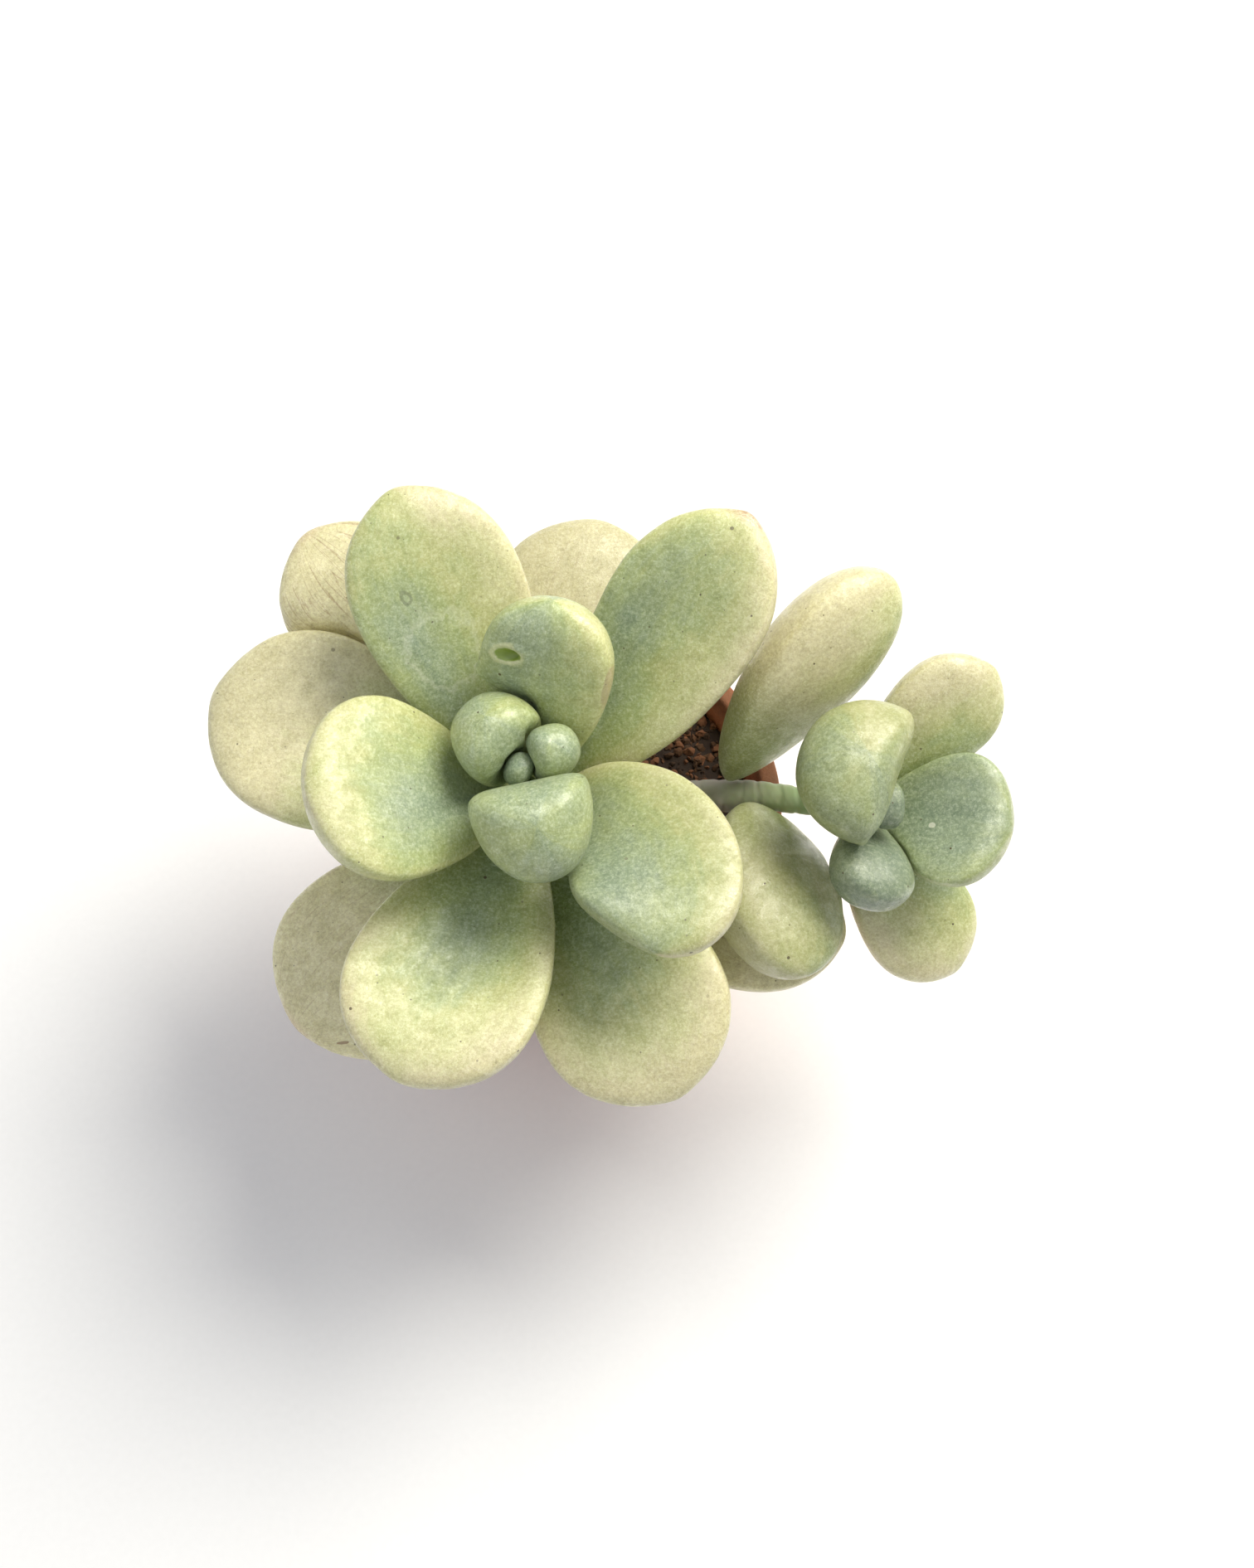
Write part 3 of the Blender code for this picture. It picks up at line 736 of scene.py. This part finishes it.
# %% Soil outline
SOIL_AROUND = 120
SOIL_CROWN = 1.2 * MM
soil_low, soil_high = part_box("soil")
pot_low, pot_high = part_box("clay_pot")
soil_finish, tree, shader = new_material("damp_potting_soil")
soil_points = np.array([v.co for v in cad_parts["soil"].data.vertices])
at_foot = soil_points[soil_points[:, 2] < soil_low.z + 0.1 * MM]
foot_radius = np.hypot(at_foot[:, 0], at_foot[:, 1]).max()
rim_radius = soil_high.x
edge_height = soil_high.z - SOIL_CROWN
outline = []
for radius in np.linspace(0, rim_radius, 70):
    outline.append((radius, soil_high.z - SOIL_CROWN * (radius / rim_radius) ** 2))
for t in np.linspace(0.04, 1, 12):
    radius = rim_radius + (foot_radius - rim_radius) * t
    outline.append((radius, edge_height + (soil_low.z - edge_height) * t))
outline += [(foot_radius * 0.5, soil_low.z), (0, soil_low.z)]
print("soil outline:", len(outline), "points")

# %% Soil surface
def turned_rows(outline, around):
    """Rows of points round +Z for an outline of (radius, height)."""
    turn = 2 * np.pi * np.arange(around) / around
    return np.array([[(r * math.cos(a), r * math.sin(a), z) for a in turn] for r, z in outline])


# Clods 3 mm and 1.2 mm wide stir the top by some tenths of a millimetre. The bed sinks a
# little as well, so that the loose grains have room below the rim.
rows = turned_rows(outline[::-1], SOIL_AROUND)
clods = bumpy(rows, 3 * MM) * 0.5 + bumpy(rows, 1.2 * MM, 7.0) * 0.35
top = rows[:, :, 2] > edge_height - 0.2 * MM
rows[:, :, 2] += np.where(top, clods - 0.3, 0) * MM
soil = from_rows("soil_bed", rows, soil_finish)
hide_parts("soil")
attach(soil, "root")
print("soil faces:", len(soil.data.polygons))

# %% The tree that scatters grains
# Each way, a grain measures some share of its size: from the first of these to the second.
GRAIN_SHARES = ((0.5, 0.4, 0.35), (1, 0.9, 0.7))
FULL_TURN = 6.28
CRUMPLE_SIZE = 5 / 7 * MM
CRUMPLE_PUSH = 0.9 * MM
SOCKETS = {
    "Surface": "Geometry", "Grains per square metre": "Float", "Smallest": "Float",
    "Largest": "Float", "Seed": "Int", "Finish": "Material",
}


def grain_tree():
    """Scatters rough grains on the faces that look up."""
    tree = bpy.data.node_groups.new("scattered_grains", "GeometryNodeTree")
    for name, kind in SOCKETS.items():
        tree.interface.new_socket(name, in_out="INPUT", socket_type="NodeSocket" + kind)
    tree.interface.new_socket("Grains", in_out="OUTPUT", socket_type="NodeSocketGeometry")
    given = add(tree, "NodeGroupInput").outputs
    normal = add(tree, "GeometryNodeInputNormal").outputs[0]
    upright = add(tree, "ShaderNodeSeparateXYZ", {0: normal}).outputs[2]
    looks_up = add(tree, "FunctionNodeCompare", {0: upright, 1: 0.6}, operation="GREATER_THAN").outputs[0]
    dots = add(tree, "GeometryNodeDistributePointsOnFaces", {
        "Mesh": given["Surface"], "Selection": looks_up,
        "Density": given["Grains per square metre"], "Seed": given["Seed"],
    })
    feeds = {0: (0, 0, 0), 1: (FULL_TURN,) * 3, "Seed": given["Seed"]}
    turn = add(tree, "FunctionNodeRandomValue", feeds, data_type="FLOAT_VECTOR")
    feeds = {2: given["Smallest"], 3: given["Largest"], "Seed": given["Seed"]}
    size = add(tree, "FunctionNodeRandomValue", feeds)
    feeds = {0: GRAIN_SHARES[0], 1: GRAIN_SHARES[1], "Seed": given["Seed"]}
    flat = add(tree, "FunctionNodeRandomValue", feeds, data_type="FLOAT_VECTOR")
    feeds = {0: flat.outputs[0], 1: size.outputs[1]}
    stretch = add(tree, "ShaderNodeVectorMath", feeds, operation="MULTIPLY")
    ball = add(tree, "GeometryNodeMeshIcoSphere", {"Radius": 0.5, "Subdivisions": 2})
    placed = add(tree, "GeometryNodeInstanceOnPoints", {
        "Points": dots.outputs[0], "Instance": ball.outputs[0],
        "Rotation": turn.outputs[0], "Scale": stretch.outputs[0],
    })
    tint = add(tree, "FunctionNodeRandomValue", {2: 0.0, 3: 1.0, "Seed": given["Seed"]})
    tinted = add(tree, "GeometryNodeStoreNamedAttribute", {
        "Geometry": placed.outputs[0], "Name": "tint", "Value": tint.outputs[1],
    }, data_type="FLOAT", domain="INSTANCE")
    real = add(tree, "GeometryNodeRealizeInstances", {"Geometry": tinted.outputs[0]})
    crumple = add(tree, "ShaderNodeTexNoise", {"Scale": 1 / CRUMPLE_SIZE, "Detail": 1.0})
    feeds = {0: crumple.outputs[1], 1: (0.5,) * 3}
    middle = add(tree, "ShaderNodeVectorMath", feeds, operation="SUBTRACT")
    feeds = {0: middle.outputs[0], 1: (CRUMPLE_PUSH,) * 3}
    push = add(tree, "ShaderNodeVectorMath", feeds, operation="MULTIPLY")
    feeds = {"Geometry": real.outputs[0], "Offset": push.outputs[0]}
    rough = add(tree, "GeometryNodeSetPosition", feeds)
    feeds = {"Geometry": rough.outputs[0], "Material": given["Finish"]}
    finished = add(tree, "GeometryNodeSetMaterial", feeds)
    add(tree, "NodeGroupOutput", {"Grains": finished.outputs[0]})
    return tree


grains = grain_tree()
print("grain tree:", len(grains.nodes), "nodes")

# %% Scattering on a surface
def scatter(name, surface, tree, values):
    """A plain mesh piece made by the tree on a surface, with the tree's inputs given by name."""
    holder = bpy.data.objects.new(name + "_maker", surface.data.copy())
    bpy.context.scene.collection.objects.link(holder)
    maker = holder.modifiers.new("Scatter", "NODES")
    maker.node_group = tree
    for item in tree.interface.items_tree:
        if item.in_out == "INPUT" and item.name in values:
            maker[item.identifier] = values[item.name]
    graph = bpy.context.evaluated_depsgraph_get()
    mesh = bpy.data.meshes.new_from_object(holder.evaluated_get(graph))
    bpy.data.objects.remove(holder)
    mesh.name = name
    piece = bpy.data.objects.new(name, mesh)
    bpy.context.scene.collection.objects.link(piece)
    return piece


# %% Soil grains
# Each row: the piece, its grains per square metre, the smallest and largest grain, the seed.
GRAINS = [
    ("soil_lumps", 550000.0, 1.1 * MM, 2.4 * MM, 11),
    ("soil_grit", 900000.0, 0.5 * MM, 1.1 * MM, 23),
]
for name, density, smallest, largest, seed in GRAINS:
    piece = scatter(name, soil, grains, {
        "Grains per square metre": density, "Smallest": smallest,
        "Largest": largest, "Seed": seed, "Finish": soil_finish,
    })
    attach(piece, "root")
    print(name, "faces:", len(piece.data.polygons))

# %% [markdown]
# ## The soil's finish
# Damp peat is dark brown, dull and crumbly, with drier and lighter lumps among it. Every grain
# got a number of its own when it was scattered, and that number picks its brown. The bed has
# none, so it stays the darkest and lies in the shade between the grains.

# %% Soil finish
# Damp peat: no gloss at all, and crumbs of two thirds of a millimetre that break up the light.
CRUMB_MM = 2 / 3
tint = add(tree, "ShaderNodeAttribute", attribute_name="tint").outputs["Fac"]
crumbs = lumps(tree, millimetres(tree), CRUMB_MM, 5.0, 0.7)
mixed = add(tree, "ShaderNodeMath", {0: crumbs, 1: 0.35, 2: tint}, operation="MULTIPLY_ADD").outputs[0]
earth = colours_along(tree, mixed, [(0.1, "22150C"), (0.45, "35220F"), (0.8, "4A3019"), (1.0, "6B452B")])
tree.links.new(earth, shader.inputs["Base Color"])
shader.inputs["Roughness"].default_value = 0.9
bump = add(tree, "ShaderNodeBump", {"Height": crumbs, "Strength": 0.6, "Distance": 0.3 * MM})
tree.links.new(bump.outputs[0], shader.inputs["Normal"])
print("soil finish:", len(tree.nodes), "nodes")

# %% [markdown]
# ## The clay pot
# The pot is thrown clay: one outline turned round an axis, with a collar for grip and a foot a
# little narrower. Turning an outline gives the wall, the floor and the rim in one closed skin.
# The corners are rounded as wet clay rounds them, and the wall wavers by a fraction of a
# millimetre, because no hand-made pot is a true cone. Drills then cut the drain holes.

# %% The pot's sizes
COLLAR_HEIGHT = 13.0 * MM
COLLAR_STEP = 1.4 * MM
COLLAR_TAPER = 0.4 * MM
POT_WALL = 2.7 * MM
POT_FLOOR = 4.0 * MM
POT_FOOT = 20.5 * MM
EDGE = 0.8 * MM
pot_rim = pot_high.x
pot_top = pot_high.z
pot_finish, tree, shader = new_material("unglazed_terracotta")
print("pot:", round(2 * pot_rim / MM, 1), "mm across,", round(pot_top / MM, 1), "mm high")

# %% Rounding an outline
def rounded(outline, radius, steps=5):
    """The outline with each inner corner turned into an arc."""
    done = [outline[0]]
    for before, here, after in zip(outline, outline[1:], outline[2:]):
        a, b, c = (Vector(p) for p in (before, here, after))
        start, end = (a - b).normalized(), (c - b).normalized()
        bend = min(radius, (a - b).length * 0.45, (c - b).length * 0.45)
        for k in range(steps + 1):
            t = k / steps
            done.append(tuple(b + start * bend * (1 - t) ** 2 + end * bend * t**2))
    return [*done, outline[-1]]


def spaced(outline, step):
    """The outline with points no further apart than step."""
    done = []
    for a, b in zip(outline, outline[1:]):
        count = max(1, math.ceil(math.dist(a, b) / step))
        done += [tuple(Vector(a).lerp(Vector(b), k / count)) for k in range(count)]
    return [*done, outline[-1]]


# %% Turning the pot
POT_AROUND = 192
OUTLINE_STEP = 0.9 * MM
under_collar = pot_rim - COLLAR_STEP
collar = pot_top - COLLAR_HEIGHT
inside_foot = POT_FOOT - POT_WALL
outline = [
    (0, 0), (POT_FOOT, 0), (under_collar - COLLAR_TAPER, collar), (pot_rim - COLLAR_TAPER, collar),
    (pot_rim, pot_top), (pot_rim - POT_WALL, pot_top), (inside_foot, POT_FLOOR), (0, POT_FLOOR),
]
rows = turned_rows(spaced(rounded(outline, EDGE), OUTLINE_STEP), POT_AROUND)
# The wall wavers by a quarter of a millimetre over 14 mm, and its skin by a twentieth over 3 mm.
waver = bumpy(rows, 14 * MM) * 0.25 + bumpy(rows, 3 * MM, 5.0) * 0.05
radial = rows.copy()
radial[:, :, 2] = 0
radial /= np.maximum(np.linalg.norm(radial, axis=2, keepdims=True), 1e-9)
rows = rows + radial * (waver * MM)[:, :, None]
rows[0, :] = rows[0, 0] * (0, 0, 1)
rows[-1, :] = rows[-1, 0] * (0, 0, 1)
solid_pot = from_rows("clay_pot_solid", rows, pot_finish)
print("pot rows:", len(rows))

# %% [markdown]
# ## Drain holes
# A potter pushes a rod through the soft floor. Here three drills do it: plain cylinders that a
# Boolean modifier takes away from the pot. The result becomes a mesh and the drills go.

# %% Drain holes
DRAIN_HOLE_RADIUS = 1.8 * MM
DRAIN_HOLE_CIRCLE = 9.5 * MM
DRAIN_HOLES = 3
drills = bmesh.new()
for k in range(DRAIN_HOLES):
    turn = 2 * math.pi * (k + 0.5) / DRAIN_HOLES
    aside, onwards = DRAIN_HOLE_CIRCLE * math.cos(turn), DRAIN_HOLE_CIRCLE * math.sin(turn)
    at = Vector((aside, onwards, POT_FLOOR / 2))
    bmesh.ops.create_cone(
        drills, cap_ends=True, segments=48, radius1=DRAIN_HOLE_RADIUS, radius2=DRAIN_HOLE_RADIUS,
        depth=POT_FLOOR * 2, matrix=Matrix.Translation(at),
    )
drill_mesh = bpy.data.meshes.new("drills")
drills.to_mesh(drill_mesh)
drills.free()
drill = bpy.data.objects.new("drills", drill_mesh)
bpy.context.scene.collection.objects.link(drill)
drilling = solid_pot.modifiers.new("Drain holes", "BOOLEAN")
drilling.object = drill
drilling.operation = "DIFFERENCE"
graph = bpy.context.evaluated_depsgraph_get()
pot_mesh = bpy.data.meshes.new_from_object(solid_pot.evaluated_get(graph))
for helper in (solid_pot, drill):
    bpy.data.objects.remove(helper)
pot_mesh.shade_smooth()
pot_mesh.set_sharp_from_angle(angle=math.radians(50))
pot = bpy.data.objects.new("clay_pot_body", pot_mesh)
bpy.context.scene.collection.objects.link(pot)
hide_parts("clay_pot")
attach(pot, "root")
print("pot faces:", len(pot_mesh.polygons))

# %% [markdown]
# ## The clay's finish
# Unglazed terracotta is matte and a little sandy. The kiln leaves it in cloudy oranges, and
# water that has come through the wall leaves a pale bloom of lime. Soil has rubbed off on the
# rim. Clouds, sand and the height up the pot give all three.

# %% Terracotta finish
# Fired clay: rough, without a highlight, with broad clouds of colour and a fine grit.
CLAY_CLOUD_MM = 12.5
SAND_MM = 0.4
DUST_CLIMB_MM = 6.0
spot_mm = millimetres(tree)
blotches = lumps(tree, spot_mm, CLAY_CLOUD_MM, 5.0)
sand = lumps(tree, spot_mm, SAND_MM, 4.0, 0.7)
tone = add(tree, "ShaderNodeMath", {0: sand, 1: 0.35, 2: blotches}, operation="MULTIPLY_ADD").outputs[0]
clay = colours_along(tree, tone, [(0.35, "8E4E30"), (0.6, "B56A45"), (0.8, "C98563"), (0.95, "DDBBA2")])
height = add(tree, "ShaderNodeSeparateXYZ", {0: spot_mm}).outputs[2]
feeds = {0: blotches, 1: DUST_CLIMB_MM, 2: height}
height = add(tree, "ShaderNodeMath", feeds, operation="MULTIPLY_ADD").outputs[0]
rim_mm = pot_top / MM
limits = {"From Min": rim_mm - 1.0, "From Max": rim_mm + 4.0, "To Min": 0.0, "To Max": 0.85}
dusty = add(tree, "ShaderNodeMapRange", {"Value": height, **limits}).outputs[0]
feeds = {0: dusty, 6: clay, 7: linear("5E4531")}
clay = add(tree, "ShaderNodeMix", feeds, data_type="RGBA").outputs[2]
tree.links.new(clay, shader.inputs["Base Color"])
shader.inputs["Roughness"].default_value = 0.85
bump = add(tree, "ShaderNodeBump", {"Height": sand, "Strength": 0.4, "Distance": 0.3 * MM})
tree.links.new(bump.outputs[0], shader.inputs["Normal"])
print("terracotta:", len(tree.nodes), "nodes")

# %% [markdown]
# ## Handing over
# Each leaf takes the place of its imported node and rides on the plant's one body. The packed
# leaves stay behind the scenes, where the physics model uses them.

# %% Hand the leaves over
for node, leaf in leaves.items():
    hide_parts(node)
    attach(leaf, "root")
print("handed over:", len(leaves))
